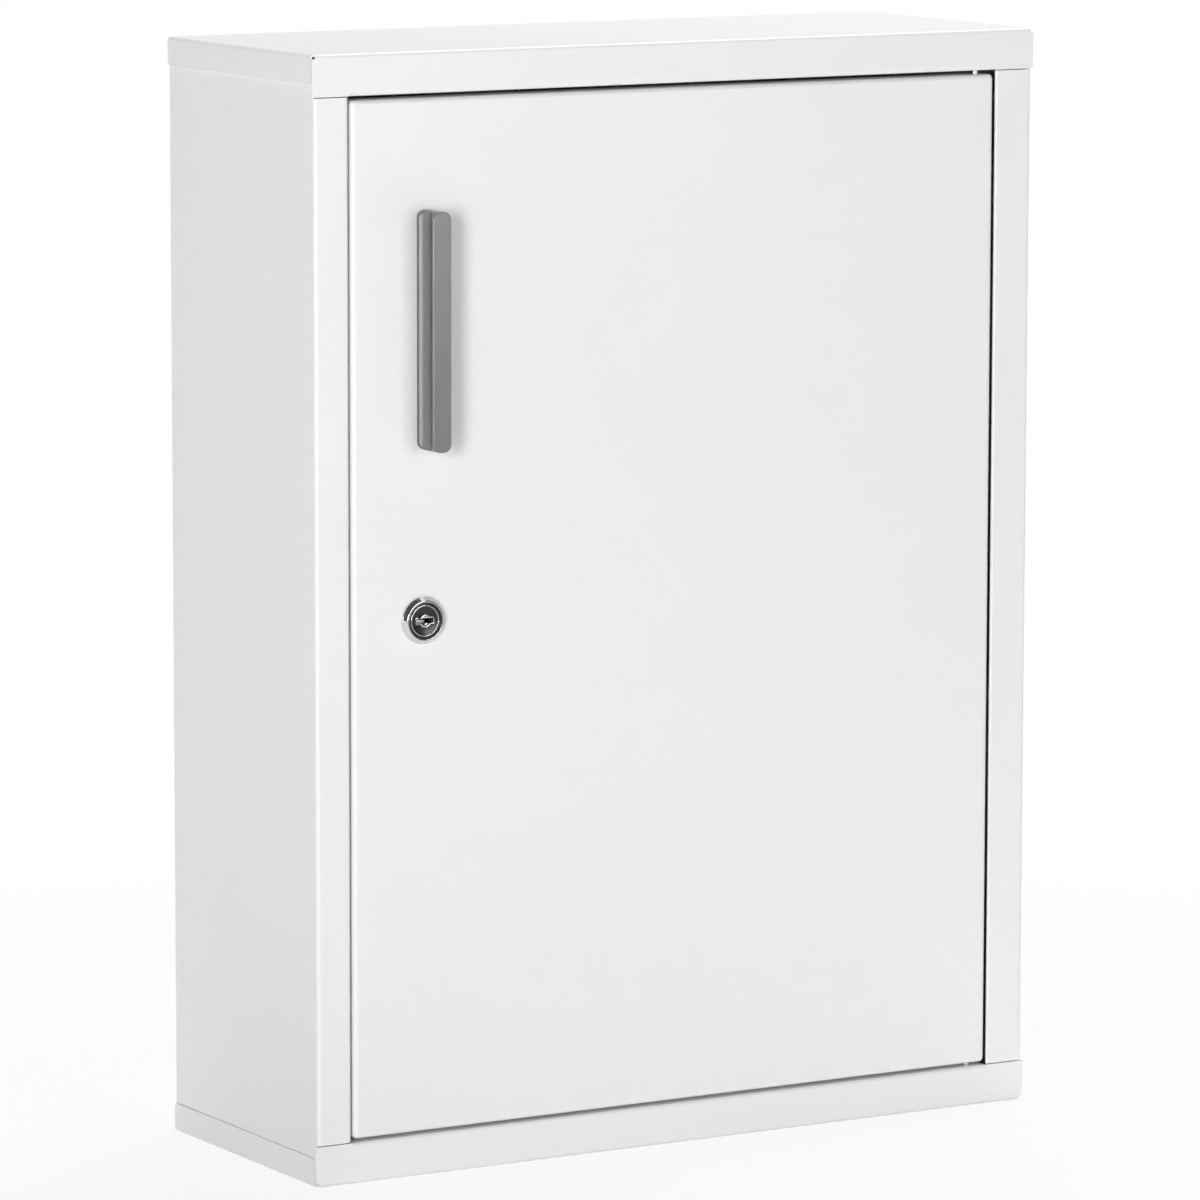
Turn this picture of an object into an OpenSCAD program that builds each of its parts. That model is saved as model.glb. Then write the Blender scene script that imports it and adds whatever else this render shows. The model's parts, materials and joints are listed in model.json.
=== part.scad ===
// Lockable wall cabinet for medicines, folded from painted sheet steel.
// Seen from the front, X runs to the right, Y runs back to the wall and Z runs up.
// The origin is on the underside, midway between the sides and between front face and wall.

/* [Cabinet] */
// Width over the side laps
cabinet_w = 344; // [320:2:400]
// Depth from the front face to the wall
cabinet_d = 128; // [120:1:150]
// Height
cabinet_h = 460; // [440:5:520]
// Thickness of the painted sheet
sheet_t = 0.9; // [0.8:0.1:1]
// Outer radius of a bend in the shell
bend_r = 1.6; // [1.4:0.1:2]
// Height of the front rails of cap and tray
rail_h = 17; // [16:0.5:20]
// Height of the laps of cap and tray on the sides and the back
lap_h = 12; // [10:0.5:14]
// Distance from the outside to the opening on the lock side
lock_stile_w = 16.5; // [15:0.5:18]
// Distance from the outside to the opening on the hinge side
hinge_stile_w = 18.5; // [18:0.5:20]

/* [Door] */
// Gap between door and stile on either side
side_gap = 1.2; // [1:0.1:1.5]
// Gap above the door
top_gap = 1.8; // [1.5:0.1:2]
// Gap below the door
bottom_gap = 1.4; // [1.2:0.1:1.8]
// Depth of the folded door
door_d = 14; // [13.5:0.5:14]
// Outer radius of the door's edges and corners
door_bend_r = 2; // [1.6:0.1:2.2]
// Width of the lips folded in behind the door
door_lip = 9; // [8:0.5:10]

/* [Hinge] */
// Distance from the opening's edge to the pins' axis
pin_inset = 7.2; // [7:0.1:7.5]
// Depth of the pins' axis behind the front face
pin_depth = 5.5; // [5.2:0.1:5.6]
// Diameter of the hinge pins
pin_d = 3; // [2.8:0.1:3.2]

/* [Lock] */
// Distance from the cabinet's outside to the lock's axis
lock_inset = 49.6; // [48:0.2:52]
// Height of the lock's axis
lock_z = 229.8; // [215:0.2:245]
// Diameter of the bevelled collar at the door
collar_d = 19.4; // [19:0.2:20]
// Height of the collar in front of the door
collar_h = 2.9; // [2.6:0.1:3.2]
// Diameter of the threaded barrel
barrel_d = 16; // [15.6:0.2:16.4]
// Diameter of the plug's face
plug_face_d = 13; // [12.6:0.1:13]
// Reach of the cam from the lock's axis to its tip
cam_reach = 30; // [29:0.5:31]

/* [Handle] */
// Distance from the cabinet's outside to the middle of the handle
handle_inset = 51.3; // [50:0.1:54]
// Height of the middle of the handle
handle_z = 347.9; // [335:0.2:360]
// Length
handle_l = 97.2; // [90:0.2:110]
// Width
handle_w = 8.2; // [8:0.1:9]
// Distance that it stands out from the door
handle_out = 14.1; // [13:0.1:16]
// Distance between the two screws
handle_screw_c = 64; // [60:1:72]

/* [Inside] */
// Height of the lower shelf's top
lower_shelf_z = 159; // [150:1:165]
// Height of the upper shelf's top
upper_shelf_z = 301; // [295:1:310]
// Distance from the front face to the shelves
shelf_setback = 26; // [25:1:30]
// Height of the upstand and the downstand of a shelf
shelf_fold = 12; // [10:1:14]
// Distance between the wall holes across the back
wall_hole_x = 250; // [200:10:260]
// Distance between the wall holes up the back
wall_hole_z = 370; // [360:5:380]
// Diameter of the wall holes
wall_hole_d = 5.2; // [4.6:0.1:6]

/* [Hidden] */
$fn = 72;

// Colours of the finishes
paint = "whitesmoke";
zinc = "silver";
chrome = "gainsboro";
satin = "slategray";
nylon = "ivory";
black = "dimgray";

// Planes of the shell
front_y = -cabinet_d / 2;
wall_y = cabinet_d / 2;
side_x = cabinet_w / 2;
panel_x = side_x - sheet_t;
panel_rear_y = wall_y - sheet_t;
back_y = panel_rear_y - sheet_t;
open_left = -side_x + lock_stile_w;
open_right = side_x - hinge_stile_w;
open_low = rail_h;
open_high = cabinet_h - rail_h;

// Small allowances: a seam between two sheets, room between parts that move, and a running fit
seam = 0.3;
slack = 0.4;
running = 0.05;
// How far a cut runs past the face that it opens, and a cut right through one sheet
over = 1;
through = 4 * sheet_t;

// Rails, laps and the edges round the opening
lap_setback = 1.9;
lap_corner_r = 2.5;
top_shelf_d = 30;
bottom_shelf_d = 14;
rail_lip = 8;
rear_flange = 14;
hem_w = 7;
stop_lip = 8;
stop_lip_trim = 3;
bumper_h = 1;
stop_y = front_y + door_d + slack + bumper_h;

// Door
door_left = open_left + side_gap;
door_right = open_right - side_gap;
door_low = open_low + bottom_gap;
door_high = open_high - top_gap;
door_back = front_y + door_d;
door_mid_x = (door_left + door_right) / 2;
door_mid_z = (door_low + door_high) / 2;
door_w = door_right - door_left;
door_h = door_high - door_low;
stiffener_w = 44;
stiffener_top_w = 24;
stiffener_h = 9;
stiffener_end = 16;

// Hinge
pin_x = open_right - pin_inset;
pin_y = front_y + pin_depth;
pin_head_d = 6;
pin_head_h = 1.2;
pin_chamfer = 0.4;
pin_in_door = 6.1;
bush_neck_d = 5;
bush_collar_d = 7;
bush_collar_h = 1.5;
bush_sleeve_d = 6;
bush_sleeve_h = 5.6;
bush_roof = 1.6;

// Lock, measured along its axis from the door's front face towards the back
lock_x = -side_x + lock_inset;
collar_front_d = 16.6;
washer_gap = 0.3;
face_gap = 0.3;
collar_edge_h = 1;
face_ring_d = 15.2;
face_ring_depth = 1.1;
plug_face_h = 2.1;
plug_face_z = -face_gap - plug_face_h;
plug_d = 11;
barrel_end = 15.2;
barrel_flats = 14;
nut_flats = 20;
nut_h = 3;
nut_face_d = 19.4;
core_d = 5.6;
core_h = 0.5;
keyway_w = 8;
keyway_h = 2.2;
keyway_depth = 12;
tang = 6.5;
tang_corner_d = 8.1;
washer_t = 1.3;
washer_d = 11.8;
stop_tab_w = 3;
stop_tab_r = 7.6;
lug_inner_d = 12.6;
lug_angle = 17;
cam_t = 2;
cam_hub_d = 16;
cam_arm_w = 12;
cam_y = barrel_end + washer_gap + washer_t;
cam_clamp = 0.2;
tang_end = cam_y + cam_t - cam_clamp;
cam_screw_d = 3.9;
cam_screw_bore_d = 4;
cam_screw_bore_l = 8;
cam_screw_l = 7;
cam_screw_head_d = 9;
screw_head_h = 2.4;
screw_head_edge = 0.8;
screw_tip = 0.5;
// Length and width of the arms of a screw's cross recess, as parts of the head's diameter
recess_l = 0.54;
recess_w = 0.11;
recess_depth = 1.2;

// Handle
handle_x = -side_x + handle_inset;
handle_base_t = 1.8;
handle_plate_t = 1.6;
handle_end_r = 3.4;
scoop = 1.5;
handle_bore_d = 4;
handle_bore_l = 9;
handle_screw_d = 3.9;
handle_screw_l = 8;
handle_screw_head_d = 8;
handle_washer_d = 10;
handle_washer_t = 0.8;
clearance_hole_d = 4.5;

// Shelves and their ledges
shelf_front = front_y + shelf_setback;
shelf_back = back_y - sheet_t - slack;
shelf_gap = 0.8;
shelf_side = panel_x - sheet_t - shelf_gap;
ledge_w = 12;
ledge_gap = 4;

// Magnetic catch and bumpers
catch_x = -90;
catch_l = 44;
catch_h = 12;
catch_gap = 1;
catch_front = door_back + catch_gap;
catch_d = 13;
catch_screw_c = 34;
catch_block_l = 25;
catch_ear_t = 4;
catch_ear_r = 3;
catch_block_r = 1.5;
catch_hole_d = 3;
catch_screw_d = 2.9;
catch_screw_l = 8;
catch_screw_head_d = 5.6;
catch_screw_head_h = 2;
pole_l = 20;
pole_d = 10;
pole_t = 1.2;
pole_gap = 4;
pole_out = 0.5;
bumper_d = 6;
bumper_edge = 0.4;
bumper_inset = 60;

// A quarter of a ring, from the +x axis round to the +y axis
module quarter_ring(outer, inner) {
    intersection() {
        difference() {
            circle(r = outer);
            circle(r = inner);
        }
        square([outer, outer]);
    }
}

// End view of a folded strip of sheet, as pairs of a straight run and a turn.
// It starts at the origin along +x with the sheet on its left; 1 folds left, -1 right, 0 ends.
module folded(runs) {
    run = runs[0][0];
    turn = runs[0][1];
    rest = [for (i = [1:1:len(runs) - 1]) runs[i]];
    inner = bend_r - sheet_t;
    if (run > 0) square([run, sheet_t]);
    if (turn > 0) {
        translate([run, bend_r]) rotate(-90) quarter_ring(bend_r, inner);
        translate([run + bend_r, bend_r]) rotate(90) folded(rest);
    }
    if (turn < 0) {
        translate([run, -inner]) quarter_ring(bend_r, inner);
        translate([run + inner, -inner]) rotate(-90) folded(rest);
    }
}

// Draws an end view in Y and Z, and extrudes it along X
module along_x(from, to) {
    translate([from, 0, 0]) rotate([90, 0, 90]) linear_extrude(to - from) children();
}

// Draws an end view in X and Z, and extrudes it along Y
module along_y(from, to) {
    translate([0, to, 0]) rotate([90, 0, 0]) linear_extrude(to - from) children();
}

// What a rounded corner takes off a square one, with the corner at the origin
module corner_waste(r) {
    difference() {
        translate([-over, -over]) square(r + over);
        translate([r, r]) circle(r = r);
    }
}

// Rectangle with round corners, centred
module round_rect(w, h, r) {
    square([w - 2 * r, h], center = true);
    square([w, h - 2 * r], center = true);
    for (x = [-1, 1], y = [-1, 1]) {
        translate([x * (w / 2 - r), y * (h / 2 - r)]) circle(r = r);
    }
}

// Tray with a front rail, two side laps and a rear lap, standing open side up.
// The ledge is the fold behind the rail, in the width of the opening.
module shell_tray(ledge) {
    ends = side_x - bend_r;
    rear_run = [lap_h - bend_r, 1];
    floor_run = [cabinet_d - 2 * bend_r, 1];
    rear = [rear_run, floor_run];
    lip_run = [rail_lip - bend_r, 0];
    // Seen from the hinge side, the strip starts at the rear lap's edge
    module section(front_runs) {
        mirror([0, 1]) translate([wall_y, -lap_h]) rotate(90) folded(concat(rear, front_runs));
    }
    plain = [[rail_h - bend_r, 0]];
    ledged = [[rail_h - 2 * bend_r, 1], [ledge - 2 * bend_r, 1], lip_run];
    along_x(-ends, open_left + seam) section(plain);
    along_x(open_left + seam, open_right - seam) section(ledged);
    along_x(open_right - seam, ends) section(plain);
    for (s = [-1, 1]) {
        // The rail's ends run out to the face of the side laps
        translate([s * (side_x - bend_r / 2), front_y + sheet_t / 2, (rail_h + bend_r) / 2])
            cube([bend_r, sheet_t, rail_h - bend_r], center = true);
        side_lap(s);
    }
}

// One side lap with its bend and rounded corners
module side_lap(s) {
    lap_from = front_y + lap_setback;
    lap_to = wall_y - lap_setback;
    difference() {
        mirror([s < 0 ? 1 : 0, 0, 0]) along_y(lap_from, lap_to) {
            translate([side_x - bend_r, 0]) folded([[0, 1], [lap_h - bend_r, 0]]);
        }
        translate([s * side_x, 0, 0]) rotate([90, 0, 90]) linear_extrude(through, center = true) {
            translate([lap_from, lap_h]) rotate(-90) corner_waste(lap_corner_r);
            translate([lap_to, lap_h]) rotate(180) corner_waste(lap_corner_r);
        }
    }
}

// Bottom tray, with the lower rail and the hole for the lower hinge pin
module bottom_tray() color(paint) {
    difference() {
        shell_tray(bottom_shelf_d);
        translate([pin_x, pin_y, open_low]) cylinder(d = pin_d, h = through, center = true);
    }
}

// Top cap, the tray turned over, with a deeper ledge that carries the catch
module top_cap() color(paint) {
    difference() {
        translate([0, 0, cabinet_h]) mirror([0, 0, 1]) shell_tray(top_shelf_d);
        translate([pin_x, pin_y, open_high]) cylinder(d = pin_d, h = through, center = true);
        catch_screw_places() cylinder(d = catch_hole_d, h = through, center = true);
    }
}

// Wall of the side panel on the lock side with its rear flange, standing between the trays' bends
module side_wall() {
    wall_run = panel_rear_y - front_y - 2 * bend_r;
    translate([-panel_x + rear_flange, panel_rear_y, bend_r]) rotate(180) {
        linear_extrude(cabinet_h - 2 * bend_r) folded([[rear_flange - bend_r, 1], [wall_run, 0]]);
    }
}

// Side panel on the lock side: the stile folds back beside the door, then in behind it
module left_side_panel() color(paint) {
    inner = bend_r - sheet_t;
    return_run = stop_y - front_y - bend_r - inner;
    side_wall();
    difference() {
        translate([0, 0, open_low + seam]) linear_extrude(open_high - open_low - 2 * seam) {
            translate([-panel_x, 0]) rotate(-90) {
                folded([[-front_y - bend_r, 1], [lock_stile_w - sheet_t - 2 * bend_r, 1],
                    [return_run, -1], [stop_lip - inner, 0]]);
            }
        }
        for (z = [open_low, open_high]) {
            translate([open_left + seam, stop_y - bend_r, z - stop_lip_trim])
                cube([2 * stop_lip, 2 * bend_r, 2 * stop_lip_trim]);
        }
    }
}

// Side panel on the hinge side: the stile ends in a flat hem that the door swings in behind
module right_side_panel() color(paint) {
    mirror([1, 0, 0]) side_wall();
    translate([0, 0, open_low + seam]) linear_extrude(open_high - open_low - 2 * seam) {
        stile = hinge_stile_w - sheet_t - sheet_t;
        translate([open_right + sheet_t, front_y]) {
            folded([[stile - bend_r, 1], [-front_y - bend_r, 0]]);
            translate([0, sheet_t]) {
                circle(r = sheet_t);
                square([hem_w - sheet_t, sheet_t]);
            }
        }
    }
}

// Back panel with four holes for wall screws
module back_panel() color(paint) {
    half = panel_x - bend_r - seam;
    difference() {
        translate([-half, back_y - sheet_t, sheet_t + seam])
            cube([2 * half, sheet_t, cabinet_h - 2 * (sheet_t + seam)]);
        for (x = [-1, 1], z = [-1, 1]) {
            translate([x * wall_hole_x / 2, back_y, cabinet_h / 2 + z * wall_hole_z / 2])
                rotate([90, 0, 0]) cylinder(d = wall_hole_d, h = through, center = true);
        }
    }
}

// Angle strip welded to a side wall under a shelf
module ledge(side, z) {
    wall = panel_x - sheet_t;
    leg = ledge_w - bend_r;
    mirror([side > 0 ? 1 : 0, 0, 0]) along_y(shelf_front + ledge_gap, shelf_back - ledge_gap) {
        translate([ledge_w - wall, z - sheet_t]) rotate(180) folded([[leg, 1], [leg, 0]]);
    }
}

module left_upper_ledge() color(paint) ledge(-1, upper_shelf_z);

module right_upper_ledge() color(paint) ledge(1, upper_shelf_z);

module left_lower_ledge() color(paint) ledge(-1, lower_shelf_z);

module right_lower_ledge() color(paint) ledge(1, lower_shelf_z);

// Shelf with an edge folded down in front and an upstand behind
module shelf(z) {
    inner = bend_r - sheet_t;
    flat_run = shelf_back - shelf_front - 2 * bend_r;
    along_x(-shelf_side, shelf_side) {
        translate([shelf_back - sheet_t, z + shelf_fold]) rotate(-90) {
            folded([[shelf_fold - inner, -1], [flat_run, 1], [shelf_fold - bend_r, 0]]);
        }
    }
}

module upper_shelf() color(paint) shelf(upper_shelf_z);

module lower_shelf() color(paint) shelf(lower_shelf_z);

// End view of the door's edge: front bend, flange and rear bend, outwards along x, back along y
module door_edge_section() {
    inner = door_bend_r - sheet_t;
    translate([0, door_bend_r]) mirror([0, 1]) quarter_ring(door_bend_r, inner);
    translate([inner, door_bend_r]) square([sheet_t, door_d - 2 * door_bend_r]);
    translate([0, door_d - door_bend_r]) quarter_ring(door_bend_r, inner);
}

// The four folded edges and four rounded corners round the door
module door_rim() {
    half_w = door_w / 2 - door_bend_r;
    half_h = door_h / 2 - door_bend_r;
    for (quarter = [0:3]) {
        out = quarter % 2 == 0 ? half_w : half_h;
        along = quarter % 2 == 0 ? half_h : half_w;
        rotate([0, -90 * quarter, 0]) translate([out, 0, 0]) {
            linear_extrude(2 * along, center = true) door_edge_section();
        }
    }
    corners = [[half_w, -half_h], [-half_w, -half_h], [-half_w, half_h], [half_w, half_h]];
    for (i = [0:3]) {
        translate([corners[i][0], 0, corners[i][1]]) rotate([0, 90 * i, 0]) rotate([-90, 0, 0]) {
            rotate_extrude(angle = 90) door_edge_section();
        }
    }
}

// Door: a folded pan with lips behind, and holes for the lock, the handle and the hinge bushes
module door_pan() color(paint) {
    flat_w = door_w - 2 * door_bend_r;
    flat_h = door_h - 2 * door_bend_r;
    difference() {
        translate([door_mid_x, front_y, door_mid_z]) {
            door_rim();
            translate([-flat_w / 2, 0, -flat_h / 2]) cube([flat_w, sheet_t, flat_h]);
            difference() {
                translate([-flat_w / 2, door_d - sheet_t, -flat_h / 2]) cube([flat_w, sheet_t, flat_h]);
                cube([door_w - 2 * door_lip, 3 * door_d, door_h - 2 * door_lip], center = true);
            }
        }
        at_lock() barrel_body(barrel_d + 2 * running, barrel_flats + 2 * running, -over, through);
        handle_screw_places() cylinder(d = clearance_hole_d, h = through, center = true);
        for (z = [door_low, door_high]) {
            translate([pin_x, pin_y, z]) cylinder(d = bush_neck_d, h = through, center = true);
        }
    }
}

// Hat section welded up the middle of the door's back
module door_stiffener() color(paint) {
    inner = bend_r - sheet_t;
    brim = (stiffener_w - stiffener_top_w) / 2 - bend_r;
    rise = stiffener_h - 2 * bend_r;
    crown = stiffener_top_w - 2 * inner;
    translate([door_mid_x - stiffener_w / 2, front_y + sheet_t, door_low + stiffener_end]) {
        linear_extrude(door_h - 2 * stiffener_end) {
            folded([[brim, 1], [rise, -1], [crown, -1], [rise, 1], [brim, 0]]);
        }
    }
}

// Round bar up along z, with a chamfer at its upper end
module chamfered_rod(diameter, length, chamfer) {
    cylinder(d = diameter, h = length - chamfer);
    translate([0, 0, length - chamfer]) {
        cylinder(d1 = diameter, d2 = diameter - 2 * chamfer, h = chamfer);
    }
}

// Hinge pin with its head on the ledge, pointing up from the origin on the ledge's head side
module hinge_pin(reach) {
    mirror([0, 0, 1]) chamfered_rod(pin_head_d, pin_head_h, pin_chamfer);
    chamfered_rod(pin_d, reach, pin_chamfer);
}

module upper_hinge_pin() color(zinc) {
    translate([pin_x, pin_y, open_high + sheet_t]) mirror([0, 0, 1]) {
        hinge_pin(sheet_t + top_gap + pin_in_door);
    }
}

module lower_hinge_pin() color(zinc) {
    translate([pin_x, pin_y, open_low - sheet_t]) hinge_pin(sheet_t + bottom_gap + pin_in_door);
}

// Bush pushed into a door flange from inside, from the flange's outer face inwards along z
module hinge_bush(roof) {
    length = sheet_t + bush_collar_h + bush_sleeve_h;
    difference() {
        union() {
            cylinder(d = bush_neck_d, h = sheet_t);
            translate([0, 0, sheet_t]) cylinder(d = bush_collar_d, h = bush_collar_h);
            translate([0, 0, sheet_t]) cylinder(d = bush_sleeve_d, h = length - sheet_t);
        }
        translate([0, 0, -over]) cylinder(d = pin_d + 2 * running, h = length + over - roof);
    }
}

module upper_hinge_bush() color(nylon) {
    translate([pin_x, pin_y, door_high]) mirror([0, 0, 1]) hinge_bush(bush_roof);
}

module lower_hinge_bush() color(nylon) {
    translate([pin_x, pin_y, door_low]) hinge_bush(bush_roof);
}

// Soft discs on the stop lip that the closed door rests against
module door_bumpers() color(black) {
    x = open_left + stop_lip - bumper_d / 2 - bumper_edge;
    for (z = [open_low + bumper_inset, open_high - bumper_inset]) {
        translate([x, stop_y, z]) rotate([90, 0, 0]) chamfered_rod(bumper_d, bumper_h, bumper_edge);
    }
}

// Places of the catch's screws, at the underside of the upper ledge
module catch_screw_places() {
    for (s = [-1, 1]) {
        translate([catch_x + s * catch_screw_c / 2, catch_front + catch_d / 2, open_high]) children();
    }
}

// Magnet between two steel pole plates that stand out a little towards the door
module catch_magnet() color(zinc) {
    height = pole_gap + 2 * pole_t;
    translate([catch_x - pole_l / 2, catch_front - pole_out, open_high - catch_h / 2 - height / 2]) {
        difference() {
            cube([pole_l, pole_d, height]);
            translate([-over, -over, pole_t]) cube([pole_l + 2 * over, over + 2 * pole_out, pole_gap]);
        }
    }
}

// Housing of the magnetic catch, with an ear for a screw on either side
module catch_housing() color(black) {
    difference() {
        translate([catch_x, catch_front + catch_d / 2, open_high]) mirror([0, 0, 1]) {
            linear_extrude(catch_ear_t) round_rect(catch_l, catch_d, catch_ear_r);
            linear_extrude(catch_h) round_rect(catch_block_l, catch_d, catch_block_r);
        }
        catch_magnet_pocket();
        catch_screw_places() cylinder(d = catch_hole_d, h = 2 * catch_h, center = true);
    }
}

// Pocket that the magnet and its plates fill
module catch_magnet_pocket() {
    height = pole_gap + 2 * pole_t;
    translate([catch_x - pole_l / 2, catch_front - over, open_high - catch_h / 2 - height / 2]) {
        cube([pole_l, over + pole_d - pole_out, height]);
    }
}

// Cross-recessed screw with its head's bearing face at the origin and its shank up along z
module pan_screw(shank_d, shank_l, head_d, head_h) {
    arm = [recess_l * head_d, recess_w * head_d, 2 * recess_depth];
    chamfered_rod(shank_d, shank_l, screw_tip);
    difference() {
        mirror([0, 0, 1]) chamfered_rod(head_d, head_h, screw_head_edge);
        for (a = [0, 90]) {
            translate([0, 0, -head_h]) rotate(a) cube(arm, center = true);
        }
    }
}

// Screws up through the ears of the catch into the ledge
module catch_screws() color(zinc) {
    catch_screw_places() translate([0, 0, -catch_ear_t]) {
        pan_screw(catch_screw_d, catch_screw_l, catch_screw_head_d, catch_screw_head_h);
    }
}

// Puts a lock piece in place: z along the lock's axis to the back, x to the right, y down
module at_lock() {
    translate([lock_x, front_y, lock_z]) rotate([-90, 0, 0]) children();
}

// Round body with two flats, as the barrel and as its hole in the door
module barrel_body(diameter, flats, from, to) {
    translate([0, 0, from]) linear_extrude(to - from) {
        intersection() {
            circle(d = diameter);
            square([flats, 2 * diameter], center = true);
        }
    }
}

// The quarter turn and the stop tab's own width, cut free in the barrel's stop ring
module turning_room() {
    reach = barrel_d;
    polygon([[0, 0],
        reach * [cos(lug_angle), sin(lug_angle)],
        reach * [1, -1],
        reach * [-sin(lug_angle), -cos(lug_angle)]]);
}

// Barrel with its bevelled collar in front and the stop ring at its rear end
module lock_barrel() color(chrome) {
    at_lock() difference() {
        union() {
            translate([0, 0, -collar_edge_h]) cylinder(d = collar_d, h = collar_edge_h);
            translate([0, 0, -collar_h]) {
                cylinder(d1 = collar_front_d, d2 = collar_d, h = collar_h - collar_edge_h);
            }
            barrel_body(barrel_d, barrel_flats, 0, barrel_end);
            difference() {
                barrel_body(barrel_d, barrel_flats, barrel_end, barrel_end + washer_t);
                translate([0, 0, barrel_end]) cylinder(d = lug_inner_d, h = 2 * washer_t);
                translate([0, 0, barrel_end]) linear_extrude(2 * washer_t) turning_room();
            }
        }
        translate([0, 0, -collar_h - over]) {
            cylinder(d = face_ring_d, h = face_ring_depth + over);
            cylinder(d = plug_face_d + 2 * running, h = collar_h + over);
            cylinder(d = plug_d + 2 * running, h = collar_h + barrel_end + 2 * over);
        }
    }
}

// Hexagon nut that clamps the barrel behind the door, with its rear corners chamfered
module lock_nut() color(zinc) {
    corners_d = nut_flats / cos(30);
    at_lock() translate([0, 0, sheet_t]) difference() {
        intersection() {
            cylinder(d = corners_d, h = nut_h, $fn = 6);
            cylinder(d1 = corners_d + 2 * nut_h, d2 = nut_face_d, h = nut_h);
        }
        translate([0, 0, -over]) cylinder(d = barrel_d + 2 * running, h = nut_h + 2 * over);
    }
}

// Plug that the key turns, with its face in front and the tang for the cam behind
module lock_plug() color(black) {
    at_lock() difference() {
        union() {
            translate([0, 0, plug_face_z - core_h]) cylinder(d = core_d, h = core_h);
            translate([0, 0, plug_face_z]) {
                cylinder(d = plug_face_d, h = plug_face_h);
                cylinder(d = plug_d, h = barrel_end + washer_gap - plug_face_z);
            }
            translate([0, 0, barrel_end]) linear_extrude(tang_end - barrel_end) intersection() {
                square(tang, center = true);
                circle(d = tang_corner_d);
            }
        }
        translate([-keyway_w / 2, -keyway_h / 2, plug_face_z - core_h - over]) {
            cube([keyway_w, keyway_h, keyway_depth + over]);
        }
        translate([0, 0, tang_end - cam_screw_bore_l]) {
            cylinder(d = cam_screw_bore_d, h = cam_screw_bore_l + over);
        }
    }
}

// Washer on the tang whose tab meets the barrel's stop ring at either end of the turn
module key_stop_washer() color(zinc) {
    at_lock() translate([0, 0, barrel_end + washer_gap]) linear_extrude(washer_t) difference() {
        union() {
            circle(d = washer_d);
            intersection() {
                translate([0, -stop_tab_w / 2]) square([barrel_d, stop_tab_w]);
                circle(r = stop_tab_r);
            }
        }
        square(tang, center = true);
    }
}

// Cam, pointing up when the door is unlocked
module lock_cam() color(zinc) {
    arm = cam_reach - cam_arm_w / 2;
    at_lock() translate([0, 0, cam_y]) linear_extrude(cam_t) difference() {
        union() {
            circle(d = cam_hub_d);
            translate([-cam_arm_w / 2, -arm]) square([cam_arm_w, arm]);
            translate([0, -arm]) circle(d = cam_arm_w);
        }
        square(tang, center = true);
    }
}

// Screw that holds the cam on the tang
module cam_screw() color(zinc) {
    at_lock() translate([0, 0, cam_y + cam_t]) mirror([0, 0, 1]) {
        pan_screw(cam_screw_d, cam_screw_l, cam_screw_head_d, screw_head_h);
    }
}

// Places of the handle's screws in the door's front face, z pointing away from the door
module handle_screw_places() {
    for (s = [-1, 1]) {
        translate([handle_x, front_y, handle_z + s * handle_screw_c / 2]) rotate([90, 0, 0]) children();
    }
}

// End view of the handle: a base and a front plate with a finger scoop down either side
module handle_section() {
    chord = handle_out - handle_base_t - handle_plate_t;
    scoop_r = chord * chord / (8 * scoop) + scoop / 2;
    difference() {
        translate([-handle_w / 2, -handle_out]) square([handle_w, handle_out]);
        for (s = [-1, 1]) {
            translate([s * (handle_w / 2 - scoop + scoop_r), -handle_base_t - chord / 2]) {
                circle(r = scoop_r);
            }
        }
    }
}

// Handle, the scooped bar cut to an outline with rounded ends
module handle() color(satin) {
    difference() {
        translate([handle_x, front_y, handle_z]) intersection() {
            linear_extrude(2 * handle_l, center = true) handle_section();
            rotate([90, 0, 0]) linear_extrude(handle_out) round_rect(handle_w, handle_l, handle_end_r);
        }
        handle_screw_places() translate([0, 0, -over]) {
            cylinder(d = handle_bore_d, h = handle_bore_l + over);
        }
    }
}

// Pan-head screws through the door into the handle
module handle_screws() color(zinc) {
    seat = sheet_t + handle_washer_t;
    handle_screw_places() translate([0, 0, -seat]) {
        pan_screw(handle_screw_d, seat + handle_screw_l, handle_screw_head_d, screw_head_h);
    }
}

module handle_washers() color(zinc) {
    handle_screw_places() translate([0, 0, -sheet_t - handle_washer_t]) difference() {
        cylinder(d = handle_washer_d, h = handle_washer_t);
        translate([0, 0, -over]) cylinder(d = clearance_hole_d, h = handle_washer_t + 2 * over);
    }
}

top_cap();
bottom_tray();
left_side_panel();
right_side_panel();
back_panel();
left_upper_ledge();
right_upper_ledge();
left_lower_ledge();
right_lower_ledge();
upper_shelf();
lower_shelf();
upper_hinge_pin();
lower_hinge_pin();
door_bumpers();
catch_housing();
catch_magnet();
catch_screws();
door_pan();
door_stiffener();
upper_hinge_bush();
lower_hinge_bush();
handle();
handle_screws();
handle_washers();
lock_barrel();
lock_nut();
lock_plug();
key_stop_washer();
lock_cam();
cam_screw();
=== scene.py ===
import json
import math

import bpy
from mathutils import Matrix, Vector

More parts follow.
